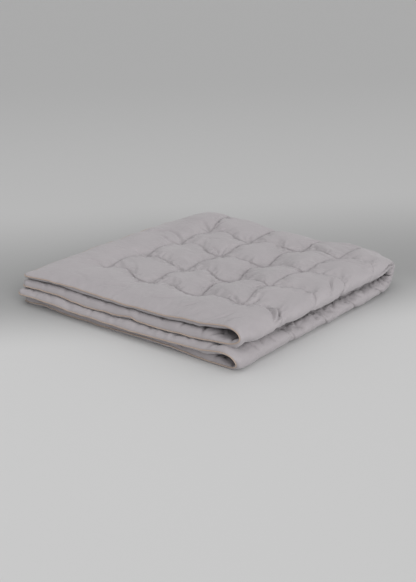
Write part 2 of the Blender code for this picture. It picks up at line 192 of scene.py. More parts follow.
# Place of the cloth's middle: at each fold half an ellipse, with a straight leg on either side. At the second
# fold the outer layers turn round the inner ones, three half layers off mid stack against one
def foldedPlace(u, v):
    turn = np.clip(u / throw["spineArc"], -1, 1) * np.pi / 2
    radius = 2 + np.sin(turn)
    gather = np.exp(-(u / throw["gatherWidth"]) ** 2)
    centre = throw["backCentre"] - gather * throw["gatherLength"]
    backReach = throw["backReach"] + gather * throw["gatherLength"] / throw["gatherBulge"]
    arc = radius * backReach * (throw["backFullness"] + gather * throw["gatherFullness"]) * np.pi / 2
    swing = np.clip(v / arc, -1, 1) * np.pi / 2
    step = radius * np.sin(swing)
    steps, layers = throw["steps"], throw["layers"]
    legY = np.clip((np.abs(v) - arc) / (throw["halfLength"] - arc), 0, 1)
    run = centre - throw["frontHem"] + np.interp(step, steps, layers[:, 0])
    y = centre + radius * backReach * np.cos(swing) - legY * run
    fromFront = np.maximum(y - throw["frontHem"], 0)
    gape = np.interp(step, steps, layers[:, 3]) * np.exp(-fromFront / throw["hemBlend"])
    reach = throw["spineReach"] + gape
    tip = np.interp(step, steps, layers[:, 2])
    cloth = np.maximum(np.abs(u) - throw["spineArc"], 0)
    legX = cloth / (throw["halfWidth"] - throw["spineArc"])
    drift = np.interp(cloth, throw["topDrift"][:, 0], throw["topDrift"][:, 1]) / throw["topDrift"][-1, 1]
    legX = legX + (drift - legX) * np.clip((step - 1) / 2, 0, 1)
    outLeft = np.interp(step, steps, layers[:, 1]) * smoothStep(3 * legY)       # full from a third of the way
    x = tip - reach * (1 - np.cos(turn)) - legX * (tip - reach - throw["leftHem"] + outLeft)
    soft = throw["cornerSoftness"]
    p = np.clip((x - layers[3, 2] + soft) / soft, 0, 1)
    q = np.clip((y - throw["backCentre"] - 3 * throw["backReach"] + soft) / soft, 0, 1)
    x, y = x - throw["cornerRounding"] * soft * p * q * q, y - throw["cornerRounding"] * soft * q * p * p
    heights = layerHeights(x, y)
    z = heights[0]
    for layer in range(3):
        z = z + np.clip((step - steps[layer]) / 2, 0, 1) * (heights[layer + 1] - heights[layer])
    nearHem = np.exp(-(hemDistance(u, v) / throw["hemWaveReach"]) ** 2)
    z = z + throw["hemWave"] * nearHem * softNoise(u + 2 * v, v - 2 * u, 2.2 * throw["hemWaveSize"], 61)
    return np.stack([x, y, z], axis=-1) - throw["boxMiddle"]


def clothNormals(u, v):  # unit cross product of the slopes along u and v, up on the top layer
    small = 0.5 * mm
    slopeU = foldedPlace(u + small, v) - foldedPlace(u - small, v)
    slopeV = foldedPlace(u, v + small) - foldedPlace(u, v - small)
    normals = np.cross(slopeU, slopeV)
    return normals / np.linalg.norm(normals, axis=-1, keepdims=True)


# Quilted body
quilt = {
    "loft": 20 * mm,             # thickness in mid cell on top, below, in a fold and in the double corner
    "underLoft": 17 * mm,
    "foldLoft": 13 * mm,
    "cornerLoft": 7 * mm,
    "edge": 3.5 * mm,            # thickness at the hem
    "topFade": 80 * mm,          # from a fold to where the top layer has its own loft
    "foldWidth": 52 * mm,        # from the middle of a fold to where its loft ends
    "filledFrom": (48 * mm, 110 * mm),      # places in u and v where lower layers begin to fill their room
    "filledOver": (60 * mm, 80 * mm),       # and the stretch over which they come to fill it
    "topHemRise": 55 * mm,       # from the hem inwards to the full loft, on top
    "innerHemRise": 15 * mm,     # the same where layers face each other
    "layerGap": 1.6 * mm,        # left between two layers
    "hemLean": 4.5 * mm,         # how far layers are lifted near a hem, off the puffed layer below
    "hemLeanReach": 38 * mm,
    "nodePinch": 22 * mm,        # how far from a crossing the cloth is drawn in
    "pullU": {-1: 0.9, 0: 0.9, 1: 0.45, 2: 1.0, 3: 0.9, 4: 0.75},       # firmness by seam number
    "pullV": {0: 0.8, 1: 0.8, 2: 0.85, 3: 0.85, 4: 0.8},
    "plainPull": 0.85,           # firmness of a seam that pullU and pullV don't name
    "looseSeam": 1,              # the seam along u that is loose over the first fold
    "looseShare": 0.75,          # how loose, where most, and how far from there
    "looseMiddle": 10 * mm,
    "looseReach": 85 * mm,
    "fieldFade": 0.25,           # share of a cell over which a seam fades out beyond the field
    "firstSeams": (-3, -4),      # the quilted field's first and last seams; beyond them the cloth is plain
    "lastSeams": (4, 4),
    "crowding": 0.25,            # how much closer the grid lines lie at a seam than on average
    # Stops of the grid in millimetres, each with the number of steps to the next one
    "linesU": [(-690, 16), (-632, 32), (-484, 32), (-336, 32), (-188, 36), (-40, 8), (-20, 16), (20, 8),
               (40, 20), (108, 40), (256, 40), (404, 40), (552, 40), (690, 0)],
    "linesV": [(-725, 24), (-640, 32), (-505, 32), (-370, 32), (-235, 32), (-100, 12), (-65, 16), (-21, 16),
               (21, 4), (35, 8), (65, 32), (170, 40), (305, 40), (440, 40), (575, 44), (725, 0)],
    "grooveDepth": 1.0 * mm,     # of the stitched line itself
    "grooveWidth": 2.5 * mm,
    "paintedShadeWidth": 2.4 * mm,      # of the painted shade line that the seam attribute holds
    "innerRelief": 0.7,          # share of the relief that the inner cover has
    "tuckHeight": 4.5 * mm,      # creases that fan out from the seam crossings
    "tuckReach": 24 * mm,
    "tuckCrowding": 2.1,         # the higher, the more of them round a crossing
    "gatherHeight": 1.6 * mm,    # small folds square to the hem
    "lowerGathers": 3.4 * mm,    # the same on the layers below
    "gatherSpacing": 11 * mm,
    "gatherReach": 26 * mm,
    "gatherGroup": 70 * mm,      # they come and go over this length
    "gatherStart": 4 * mm,       # from the hem to where they have their full height
    "rumple": 5.0 * mm,          # soft lumps inside the open ends of the first fold
    "rumpleSize": 24 * mm,
    "rumpleFold": (60 * mm, 90 * mm),       # their middle and reach from the first fold
    "rumpleHem": (20 * mm, 45 * mm),        # the same from the hem
    "rumpleStart": 8 * mm,
    "slackHeight": 1.1 * mm,     # broad unevenness of the cloth
    "slackSize": 45 * mm,
    "slackStart": 30 * mm,
    "cornerCreases": (52 * mm, 80 * mm),    # in u and v, where both covers take the same creases
}


def gridLines(stops):  # places from stop to stop, crowded by a sine towards the ends of each whole cell
    places = []
    for (start, steps), (end, _) in zip(stops, stops[1:]):
        shares = np.arange(steps) / steps
        if end - start > 100:               # a whole cell
            shares = shares - quilt["crowding"] * np.sin(2 * np.pi * shares) / (2 * np.pi)
        places += list(start + (end - start) * shares)
    return np.array(places + [stops[-1][0]]) * mm


def seamNumbers(u, v):  # whole numbers are seams
    return (u - throw["firstSeamU"]) / throw["cellU"], (v - throw["firstSeamV"]) / throw["cellV"]


def seamTable(column, usual):  # a column of the shown crossings by seam number, the usual value elsewhere
    table = np.full((2 * throw["zeroSeam"], 2 * throw["zeroSeam"]), usual)
    numbers = throw["shownSeams"][:, :2].astype(int) + throw["zeroSeam"]
    table[numbers[:, 0], numbers[:, 1]] = throw["shownSeams"][:, column] * mm
    return table


# Even places moved by the crossings' own shifts and the seams' bows, which are sines from crossing to
# crossing, all blended across each cell; the throw's corners are rounded
def bowedCloth(u, v):
    s, t = seamNumbers(u, v)
    low, front = np.floor(s).astype(int) + throw["zeroSeam"], np.floor(t).astype(int) + throw["zeroSeam"]
    a, b = s % 1, t % 1
    bowAlong = seamTable(4, throw["bowU"])
    bowAcross, skew = seamTable(5, throw["bowV"]), seamTable(6, throw["skewV"])
    peak = np.sin(np.pi * b) + 0.25 * np.sin(2 * np.pi * b)
    moveU = peak * ((1 - a) * bowAlong[low, front + 1] + a * bowAlong[low + 1, front + 1])
    arc, swing = -np.sin(np.pi * a), np.sin(2 * np.pi * a)
    moveV = (1 - b) * (arc * bowAcross[low + 1, front] + swing * skew[low + 1, front])
    moveV = moveV + b * (arc * bowAcross[low + 1, front + 1] + swing * skew[low + 1, front + 1])
    for column, share in ((0, (1 - a) * (1 - b)), (1, a * (1 - b)), (2, (1 - a) * b), (3, a * b)):
        place = low + column % 2, front + column // 2
        moveU = moveU + share * seamTable(2, 0.0)[place]
        moveV = moveV + share * seamTable(3, 0.0)[place]
    hem = np.clip(hemDistance(u, v) / throw["bowFromHem"], 0, 1)
    u, v = (u + moveU * hem * np.clip((np.abs(u) - throw["spineArc"]) / throw["bowFromFold"], 0, 1),
            v + moveV * hem * np.clip((np.abs(v) - throw["backTurn"]) / throw["bowFromFold"], 0, 1))
    radius = throw["cornerRadius"]
    p = np.clip((np.abs(u) - throw["halfWidth"] + radius) / radius, 0, 1)
    q = np.clip((np.abs(v) - throw["halfLength"] + radius) / radius, 0, 1)
    return (u - np.sign(u) * radius * p * (1 - np.sqrt(1 - q * q / 2)),
            v - np.sign(v) * radius * q * (1 - np.sqrt(1 - p * p / 2)))


def hemDistance(u, v):  # from a cloth place to the nearest hem
    return np.minimum(throw["halfWidth"] - np.abs(u), throw["halfLength"] - np.abs(v))


def ownSeam(seam, way):  # number of the nearest seam that is sewn, and 1 in the quilted field, 0 beyond it
    first, last = quilt["firstSeams"][way], quilt["lastSeams"][way]
    beyond = np.maximum(seam - last, first - seam)
    return np.clip(np.rint(seam), first, last), 1 - smoothStep(beyond / quilt["fieldFade"])


def seamHold(u, numberT):  # 1 where a seam along u is firm, less where one goes loose over the first fold
    loose = quilt["looseShare"] * (numberT == quilt["looseSeam"])
    return 1 - loose * np.exp(-((u - quilt["looseMiddle"]) / quilt["looseReach"]) ** 2)


def topShare(u, v):  # 1 on the top layer, falling to 0 at the folds
    return smoothStep(u / quilt["topFade"]) * smoothStep(v / quilt["topFade"])


def seamRise(seam, way, pulls):  # a quarter ellipse from a firm seam at 0 to mid cell at 1
    nearest = ownSeam(seam, way)[0]
    pull = np.full(seam.shape, quilt["plainPull"])
    for number, firmness in pulls.items():
        pull[nearest == number] = firmness
    away = np.clip(2 * np.abs(seam - nearest), 0, 1)
    return 1 - pull * (1 - np.sqrt(1 - (1 - away) ** 2))


# From the cloth's middle to a cover: half the edge, plus half the loft beyond it times the rises from seams,
# crossings and hem. Lower layers fill the room between their neighbours and are lifted near their hems
def clothHalf(s, t, u, v, outside):
    (numberS, fieldS), (numberT, fieldT) = ownSeam(s, 0), ownSeam(t, 1)
    rise = 1 - (1 - seamRise(s, 0, quilt["pullU"])) * fieldT
    rise = rise * (1 - (1 - seamRise(t, 1, quilt["pullV"])) * fieldS * seamHold(u, numberT))
    across, along = (s - numberS) * throw["cellU"], (t - numberT) * throw["cellV"]
    rise = rise * (1 - fieldS * fieldT * np.exp(-(across ** 2 + along ** 2) / quilt["nodePinch"] ** 2))
    onTop = topShare(u, v)
    hemRise = quilt["innerHemRise"] + (quilt["topHemRise"] - quilt["innerHemRise"]) * onTop * outside
    rise = rise * np.sqrt(1 - (1 - np.clip(hemDistance(u, v) / hemRise, 0, 1)) ** 2)
    atFirst, atSecond = np.exp(-(u / quilt["foldWidth"]) ** 2), np.exp(-(v / quilt["foldWidth"]) ** 2)
    loft = quilt["underLoft"] + (quilt["loft"] - quilt["underLoft"]) * onTop
    loft = loft - (loft - quilt["foldLoft"]) * np.maximum(atFirst, atSecond)
    loft = loft - (loft - quilt["cornerLoft"]) * atFirst * atSecond
    place = foldedPlace(u, v) + throw["boxMiddle"]
    bottom, third, second, top = layerHeights(place[..., 0], place[..., 1])
    room = np.where(v > 0, top - second, third - bottom)
    if outside:
        room = np.where(u > 0, loft, second - third)
    (fromU, fromV), (overU, overV) = quilt["filledFrom"], quilt["filledOver"]
    filled = smoothStep((np.abs(u) - fromU) / overU) * smoothStep((np.abs(v) - fromV) / overV)
    spare = (room - quilt["layerGap"] - loft) * filled * (u < 0 if outside else 1)
    upwards = -np.sign(v) * (u < 0) if outside else -np.sign(u * v)     # 1 under another layer, -1 over one
    lean = quilt["hemLean"] * np.exp(-(hemDistance(u, v) / quilt["hemLeanReach"]) ** 2) * upwards * filled
    return (quilt["edge"] + (loft + spare - quilt["edge"]) * rise) / 2 + lean * rise


# Low relief of a cover: a groove along each seam, tucks that fan out from the crossings, gathers along the
# hem, lumps in the open ends of the first fold, and slack cloth
def coverRelief(s, t, u, v, outside, seed):
    (numberS, fieldS), (numberT, fieldT) = ownSeam(s, 0), ownSeam(t, 1)
    across, along = (s - numberS) * throw["cellU"], (t - numberT) * throw["cellV"]
    radius, angle = np.hypot(across, along), np.arctan2(along, across)
    turn = numberS * 5.3 + numberT * 9.1        # another fan at each crossing
    crowding, reach = quilt["tuckCrowding"], quilt["tuckReach"]
    fan = softNoise(crowding * np.cos(angle) + turn, crowding * np.sin(angle) + 2 * turn, 1, seed + 4)
    fan = np.abs(fan) - 0.35                    # ridges and troughs of one height
    relief = quilt["tuckHeight"] * fan * radius / (radius + 0.4 * reach)
    relief = relief * np.exp(-radius / reach) * fieldS * fieldT
    groove = (np.exp(-(across / quilt["grooveWidth"]) ** 2) * fieldT
              + np.exp(-(along / quilt["grooveWidth"]) ** 2) * fieldS * seamHold(u, numberT))
    relief = relief - quilt["grooveDepth"] * np.minimum(groove, 1)
    hem = hemDistance(u, v)
    alongHem = np.where(throw["halfWidth"] - np.abs(u) > hem, u, v)
    slant = 0.35 * hem + np.sign(u) * 0.2
    gathers = np.abs(softNoise(alongHem, slant, quilt["gatherSpacing"], seed + 7)) - 0.4
    uneven = np.clip(0.5 + softNoise(alongHem, 0.5 * hem, quilt["gatherGroup"], seed + 8), 0, 1)
    onTop = topShare(u, v) * outside
    gatherHeight = quilt["gatherHeight"] * onTop + quilt["lowerGathers"] * (1 - onTop)
    gathers = gatherHeight * gathers * uneven * np.exp(-hem / quilt["gatherReach"])
    relief = relief + gathers * smoothStep(hem / quilt["gatherStart"])
    (foldMiddle, foldReach), (hemMiddle, hemReach) = quilt["rumpleFold"], quilt["rumpleHem"]
    openEnd = np.exp(-((np.abs(u) - foldMiddle) / foldReach) ** 2 - (hem - hemMiddle) ** 2 / hemReach ** 2)
    rumple = quilt["rumple"] * softNoise(u, v, quilt["rumpleSize"], seed + 9) * ((1 - onTop) * openEnd)
    relief = relief + rumple * smoothStep(hem / quilt["rumpleStart"])
    slack = softNoise(u, v, quilt["slackSize"], seed + 5)
    slack = slack + 0.5 * softNoise(u, v, quilt["slackSize"] / 2.3, seed + 6)
    return relief + quilt["slackHeight"] * slack * smoothStep(hem / quilt["slackStart"])


# Creases listed one by one: from one cloth place to another, how far the middle is bent to the side, and the
# width and depth of the trough; a negative depth is a ridge
creases = np.array([             # u, v, to u, to v, bend, width, depth
    [162, 494, 130, 438, 4, 5, 7],          # pinched crossings near the first fold
    [178, 566, 120, 597, 4, 6, 5.5],
    [106, 610, 72, 566, 5, 5, 5.5],
    [102, 580, 112, 510, -6, 5, 5.5],
    [118, 596, 98, 576, 0, 5, -5.5],
    [168, 321, 108, 314, -4, 5, 7],
    [74, 566, 12, 602, 3, 5, 6.5],          # two folds side by side over the front of the roll
    [48, 556, 8, 598, 7, 5, 6.5],
    [60, 560, 12, 598, 5, 5, -5],
    [56, 316, 16, 360, -5, 5, 5.5],
    [28, 360, 12, 374, 5, 4, -4],
    [446, 294, 396, 324, 3, 5, 5],          # short ones at the crossings further back
    [420, 270, 398, 322, -4, 5, 4],
    [446, 174, 404, 192, 3, 5, 5],
    [430, 150, 402, 190, -3, 5, 4],
    [580, 156, 530, 192, 3, 6, 6.5],
    [534, 164, 528, 120, 3, 5, 5.5],
    [524, 180, 500, 156, -3, 5, 5.5],
    [590, 430, 542, 430, 5, 5, 4],
    [604, 300, 538, 306, -6, 6, 5],
    [620, 566, 560, 566, 4, 6, 4],
    [672, 290, 614, 256, 4, 7, 5.5],        # beyond the last seam on the left
    [614, 256, 536, 302, 10, 7, 6.5],
    [524, 248, 466, 234, 0, 6, 3.5],
    [434, 456, 398, 476, 4, 5, 5],
    [208, 182, 106, 186, -6, 7, 4],
    [338, 676, 282, 648, -8, 7, 4],         # along the front hem
    [470, 690, 400, 664, 7, 8, 3.5],
    [236, 690, 190, 650, -8, 8, 2.5],
    [560, 668, 500, 700, 8, 8, 2],
    [46, 720, 50, 670, 6, 6, 3],
    [90, 716, 80, 660, -6, 7, 2.5],
    [152, 182, 92, 180, 4, 6, 4],           # at the back
    [118, 214, 66, 192, 4, 6, 4],
    [572, 56, 516, 56, -28, 6, 6],
    [456, 60, 398, 60, 9, 6, 4.5],
    [300, 110, 246, 130, 6, 7, 3],
    [-42, -315, 0, -308, -6, 5, 5],         # across the lower roll
    [-44, -330, 0, -324, 0, 5, 4.5],
    [-64, -718, -36, -668, 8, 6, 3.5],      # between the second and third hems
    [-92, -724, -70, -690, -5, 6, 3],
    [-130, -724, -156, -690, 6, 6, 3],
    [-188, -724, -178, -700, 4, 6, 2.5],
    [-236, -722, -268, -700, 5, 6, 3],
    [-300, -724, -292, -700, -4, 6, 2],
    [-352, -724, -380, -698, 5, 7, 3],
    [-440, -724, -430, -700, 4, 7, 2.5],
    [-500, -722, -530, -702, 5, 7, 2.5],
    [-560, -724, -590, -700, 4, 7, 3],
    [-622, -722, -650, -700, 4, 6, 3],
    [-46, -447, -6, -455, -7, 5, 5],
    [-42, -567, -6, -570, -6, 5, 5],
    [-42, -601, -18, -614, 0, 5, 4],
    [-57, -151, -16, -151, 3, 5, 5],
    [-44, -193, -8, -179, 0, 5, 4],
    [-44, -384, -14, -394, 4, 6, 3.5],
    [-42, -508, -8, -514, -4, 6, 4],
    [-44, -246, -10, -252, 4, 6, 4],
    [-42, -646, -12, -636, 3, 6, 4],
    [-10, 122, 14, 30, 3, 5, 17],           # fanning over the corner where both folds meet
    [-54, 2, 12, 28, 2, 4.5, 13],
    [-54, -10, 8, -3, -2, 4.5, 15],
    [-54, -25, 4, -38, -3, 4.5, 12],
    [-50, -50, -4, -62, 0, 4.5, 8],
    [-42, -97, -8, -93, 0, 4.5, 5],
]) * mm

innerCreases = np.array([        # the same on the inner cover, where it shows between the front hems
    [-30, 722, -44, 650, 6, 6, 6],
    [-62, 700, -96, 640, -8, 6, 5],
    [-84, 724, -70, 684, 5, 5, 4],
    [-104, 724, -130, 676, 8, 7, 6],
    [-146, 706, -176, 690, -6, 5, 2.5],
    [-172, 724, -162, 700, 3, 5, 3],
    [-216, 724, -250, 700, 6, 6, 3],
    [-268, 718, -262, 700, -4, 6, 2],
    [-318, 724, -352, 704, 5, 6, 2.5],
    [-400, 724, -412, 702, 4, 7, 3],
    [-446, 722, -486, 706, 5, 6, 2],
    [-540, 724, -528, 700, -4, 7, 3],
    [-600, 722, -636, 704, 4, 7, 2.5],
    [30, -722, 42, -650, 5, 6, 6],
    [60, -706, 92, -650, -7, 6, 5],
    [84, -724, 74, -684, 5, 5, 4],
    [112, -724, 136, -690, -6, 7, 5],
    [170, -724, 196, -700, 5, 6, 3],
    [236, -724, 226, -700, 4, 7, 3],
    [310, -724, 340, -702, 4, 7, 2.5],
]) * mm


# Across a trough (1 - x^2) exp(-x^2), so that its flanks bulge; along it a parabola to the side, and a sine
# that tapers it to both ends
def creaseRelief(table, u, v):
    relief = np.zeros(u.shape)
    for startU, startV, endU, endV, bend, width, depth in table:
        runU, runV = endU - startU, endV - startV
        length = np.hypot(runU, runV)
        share = np.clip(((u - startU) * runU + (v - startV) * runV) / length ** 2, 0, 1)
        side = 4 * bend * share * (1 - share) / length
        awayU = u - startU - share * runU + side * runV
        awayV = v - startV - share * runV - side * runU
        away = np.hypot(awayU, awayV) / width
        relief -= depth * (1 - away ** 2) * np.exp(-away ** 2) * np.sin(np.pi * (0.12 + 0.76 * share))
    return relief


fineZones = {                    # where the cloth shows and the grid is fine
    "nearHem": 80 * mm,          # half as fine this near a hem
    "topStart": (-45 * mm, -60 * mm),       # the outer cover from these places in u and v onto the top layer
    "nearFold": 60 * mm,         # and this near the first fold
    "frontStart": 665 * mm,      # the open front hems from here outwards
    "rim": 14 * mm,
}


def coarseness(u, v, outside):  # 0, 1 or 2: how often a block's fineness is halved, 0 where it shows
    startU, startV = fineZones["topStart"]
    nearFold, frontStart = fineZones["nearFold"], fineZones["frontStart"]
    level = np.full(u.shape, 2)
    level[hemDistance(u, v) < fineZones["nearHem"]] = 1
    if outside:
        level[(u > startU) & (v > startV)] = 0
        level[np.abs(u) < nearFold] = 0
        level[(u < 0) & (v < -frontStart)] = 0
    else:
        level[(u < nearFold) & (v > frontStart)] = 0
        level[(u > -nearFold) & (v < -frontStart)] = 0
    level[np.abs(v) > throw["halfLength"] - fineZones["rim"]] = 0
    level[np.abs(u) > throw["halfWidth"] - fineZones["rim"]] = 1
    return level


# Faces of a grid of 4 x 4 blocks, coarser by level; a face has extra corners where it meets finer ones
def halvedGrid(level, shape):
    rows, columns = shape
    fine = np.kron(level, np.ones((4, 4), int))
    used = np.zeros(rows * columns, bool)
    outlines = []
    for halvings, size in enumerate((1, 2, 4)):
        row, column = np.nonzero(fine[::size, ::size] == halvings)
        row, column = row[:, None] * size, column[:, None] * size
        run, still, back = np.arange(size), np.zeros(size, int), size - np.arange(size)
        aroundRow = np.concatenate([run, still + size, back, still])
        aroundColumn = np.concatenate([still, run, still + size, back])
        outline = (row + aroundRow) * columns + column + aroundColumn
        used[outline[:, ::size]] = True
        outlines.append(outline)
    corners, counts = [], []
    for outline in outlines:
        kept = used[outline]
        corners.append(outline[kept])
        counts.append(kept.sum(axis=1))
    return np.concatenate(corners), np.concatenate(counts), used


def putMesh(name, points, corners, counts):  # a smooth-shaded mesh object from whole arrays
    mesh = bpy.data.meshes.new(name)
    mesh.vertices.add(len(points))
    mesh.vertices.foreach_set("co", points.astype(np.float32).ravel())
    mesh.loops.add(len(corners))
    mesh.loops.foreach_set("vertex_index", corners.astype(np.int32))
    mesh.polygons.add(len(counts))
    mesh.polygons.foreach_set("loop_start", (np.cumsum(counts) - counts).astype(np.int32))
    mesh.update(calc_edges=True)
    mesh.validate()
    mesh.shade_smooth()
    thing = bpy.data.objects.new(name, mesh)
    bpy.context.scene.collection.objects.link(thing)
    return thing


# Filling: its pressure swells the outer cover, which is held at its seams and hem and a little too large
filling = {
    "frames": 12,
    "pressure": 3,
    "pointMass": 0.001,
    "stiffness": 15,
    "damping": 0.5,
    "bending": 1e-5,
    "heldWidth": 0.5 * mm,       # cloth this near a seam is held
    "slack": 0.10,               # share by which the cover is too large at its seams, which puckers it
    "plainSlack": 0.004,         # the same in mid cell and in the plain bands
    "slackReach": 22 * mm,
    "slackGroup": 60 * mm,       # puckers come and go over this length
    "unevenness": 0.5 * mm,      # of the cloth before it settles
    "unevenSize": 7 * mm,
    "furthest": 6 * mm,          # no point settles further than this
}


# Where cloth comes to rest that is pressed outwards between its held points; slack is 1 where it is largest
def settledCover(points, corners, counts, held, slack):
    cover = putMesh("settling_cover", points, corners, counts)
    pins, sizes = cover.vertex_groups.new(name="held"), cover.vertex_groups.new(name="slack")
    pins.add(np.nonzero(held)[0].tolist(), 1, "REPLACE")
    for tenth in range(11):
        sizes.add(np.nonzero(np.rint(10 - slack * 10) == tenth)[0].tolist(), tenth / 10, "REPLACE")
    cloth = cover.modifiers.new("cloth", "CLOTH")
    cloth.settings.quality = 4
    cloth.settings.mass = filling["pointMass"]
    cloth.settings.tension_stiffness = cloth.settings.compression_stiffness = filling["stiffness"]
    cloth.settings.tension_damping = cloth.settings.compression_damping = filling["damping"]
    cloth.settings.shear_stiffness = filling["stiffness"] / 3
    cloth.settings.shear_damping = filling["damping"]
    cloth.settings.bending_stiffness = filling["bending"]
    cloth.settings.bending_damping = 0
    cloth.settings.vertex_group_mass = "held"
    cloth.settings.vertex_group_shrink = "slack"
    cloth.settings.shrink_min = -filling["slack"]
    cloth.settings.shrink_max = -filling["plainSlack"]
    cloth.settings.use_pressure = True
    cloth.settings.uniform_pressure_force = filling["pressure"]
    cloth.settings.effector_weights.gravity = 0
    cloth.point_cache.frame_end = filling["frames"]
    for step in range(1, filling["frames"] + 1):
        bpy.context.scene.frame_set(step)
    settled = np.zeros(len(points) * 3, np.float32)
    cover.evaluated_get(bpy.context.evaluated_depsgraph_get()).data.vertices.foreach_get("co", settled)
    bpy.context.scene.frame_set(1)
    bpy.data.objects.remove(cover)
    move = settled.reshape(-1, 3) - points
    length = np.linalg.norm(move, axis=1, keepdims=True)
    print("settled by", np.percentile(length / mm, [50, 90, 99, 100]).round(1), "mm")
    return points + move / np.sqrt(1 + (length / filling["furthest"]) ** 2)


# The finely gridded stretch of the outer cover, settled over its filling; only a seam or the stretch's own
# border holds it
def filledCover(outer, normals, s, t, u, v, level):
    rows, columns = u.shape
    outer, normals = outer.reshape(-1, 3), normals.reshape(-1, 3)
    (numberS, fieldS), (numberT, fieldT) = ownSeam(s, 0), ownSeam(t, 1)
    across = np.abs(s - numberS) * throw["cellU"] + (1 - fieldT)
    along = np.abs(t - numberT) * throw["cellV"] + (1 - fieldS)
    nearest = np.minimum(across, along)
    fineFaces = np.repeat(np.kron(level, np.ones((4, 4), int)).ravel() == 0, 4)
    row, column = np.meshgrid(np.arange(rows - 1), np.arange(columns - 1), indexing="ij")
    first = row * columns + column
    fine = np.stack([first, first + columns, first + columns + 1, first + 1], -1).ravel()[fineFaces]
    touching = np.bincount(fine, minlength=rows * columns)
    shown = np.nonzero(touching)[0]
    order = np.cumsum(touching > 0) - 1
    held = (nearest.ravel() < filling["heldWidth"]) | (touching < 4)
    patchy = 0.7 + 0.5 * softNoise(u, v, filling["slackGroup"], 52)
    slack = np.clip(np.exp(-(nearest / filling["slackReach"]) ** 2) * patchy, 0, 1).ravel()
    uneven = filling["unevenness"] * softNoise(u, v, filling["unevenSize"], 51).ravel()[:, None] * normals
    start = outer + uneven * ~held[:, None]
    counts = np.full(len(fine) // 4, 4)
    outer[shown] = settledCover(start[shown], order[fine], counts, held[shown], slack[shown])
    return outer.reshape(rows, columns, 3)


def rimRing(rows, columns):  # the grid's border points, once round
    return np.concatenate([
        np.arange(columns - 1),
        np.arange(rows - 1) * columns + columns - 1,
        (rows - 1) * columns + np.arange(columns - 1, 0, -1),
        np.arange(rows - 1, 0, -1) * columns,
    ])


def paintedSeamShade(s, t, u):  # painted shade: 1 on a stitched line, falling off it as a bell curve
    (numberS, fieldS), (numberT, fieldT) = ownSeam(s, 0), ownSeam(t, 1)
    across, along = (s - numberS) * throw["cellU"], (t - numberT) * throw["cellV"]
    return np.maximum(np.exp(-(across / quilt["paintedShadeWidth"]) ** 2) * fieldT,
                      np.exp(-(along / quilt["paintedShadeWidth"]) ** 2) * fieldS * seamHold(u, numberT))


# Outer and inner covers as the middle plus or minus the normal times half the thickness, joined at the rim
def quiltBody():
    evenU, evenV = np.meshgrid(gridLines(quilt["linesU"]), gridLines(quilt["linesV"]), indexing="ij")
    rows, columns = evenU.shape
    s, t = seamNumbers(evenU, evenV)
    u, v = bowedCloth(evenU, evenV)
    middle, normals = foldedPlace(u, v), clothNormals(u, v)
    outerHalf = clothHalf(s, t, u, v, True) + coverRelief(s, t, u, v, True, 11)
    innerHalf = clothHalf(s, t, u, v, False) + quilt["innerRelief"] * coverRelief(s, t, u, v, False, 31)
    outer, inner = middle + normals * outerHalf[..., None], middle - normals * innerHalf[..., None]
    blockU, blockV = evenU[2::4, 2::4], evenV[2::4, 2::4]       # middles of the blocks of 4 x 4
    level = coarseness(blockU, blockV, True)
    outer = filledCover(outer, normals, s, t, u, v, level)
    relief = creaseRelief(creases, u, v)
    cornerU, cornerV = quilt["cornerCreases"]
    atCorner = np.exp(-(u / cornerU) ** 2 - (v / cornerV) ** 2)
    outer = outer + normals * relief[..., None]
    inner = inner + normals * (relief * atCorner - creaseRelief(innerCreases, u, v))[..., None]
    outer[..., 2] = np.maximum(outer[..., 2], 0)
    outerCorners, outerCounts, outerUsed = halvedGrid(level, (rows, columns))
    innerCorners, innerCounts, innerUsed = halvedGrid(coarseness(blockU, blockV, False), (rows, columns))
    innerStarts = np.repeat(np.cumsum(innerCounts) - innerCounts, innerCounts)
    innerEnds = innerStarts + np.repeat(innerCounts, innerCounts) - 1
    flipped = innerEnds - (np.arange(len(innerCorners)) - innerStarts)
    ring = rimRing(rows, columns)
    ring = ring[outerUsed[ring] & innerUsed[ring]]
    ringNext = np.roll(ring, -1)
    total = rows * columns
    band = np.stack([ring, ringNext, total + ringNext, total + ring], axis=1)
    corners = np.concatenate([outerCorners, total + innerCorners[flipped], band.ravel()])
    counts = np.concatenate([outerCounts, innerCounts, np.full(len(band), 4)])
    points = np.concatenate([outer.reshape(-1, 3), inner.reshape(-1, 3)])
    used = np.concatenate([outerUsed, innerUsed])
    renumbered = np.cumsum(used) - 1
    body = putMesh("quilt_body", points[used], renumbered[corners], counts)
    places = np.stack([np.tile(u.ravel(), 2), np.tile(v.ravel(), 2)], axis=1)[used]
    uvMap = body.data.uv_layers.new(name="cloth")
    loopPoints = np.zeros(len(body.data.loops), np.int32)
    body.data.loops.foreach_get("vertex_index", loopPoints)
    uvMap.data.foreach_set("uv", places[loopPoints].astype(np.float32).ravel())
    # The seam attribute holds painted shade along the stitched lines, which darkens the cloth's colour there
    shade = body.data.attributes.new("seam", "FLOAT", "POINT")
    shade.data.foreach_set("value", np.tile(paintedSeamShade(s, t, u).ravel(), 2)[used].astype(np.float32))
    return body, middle.reshape(-1, 3)[ring], normals.reshape(-1, 3)[ring]


# Piping
piping = {
    "radius": 1.35 * mm,
    "gap": 0.1 * mm,
    "lift": 0.9 * mm,            # how far it lies above the middle of a flat hem
    "sides": 10,
    "colour": (0.47, 0.375, 0.31, 1),
    "shade": (0.36, 0.28, 0.23, 1),
    "weaveTurn": 5000,           # radians of its weave for each metre on the bias
}


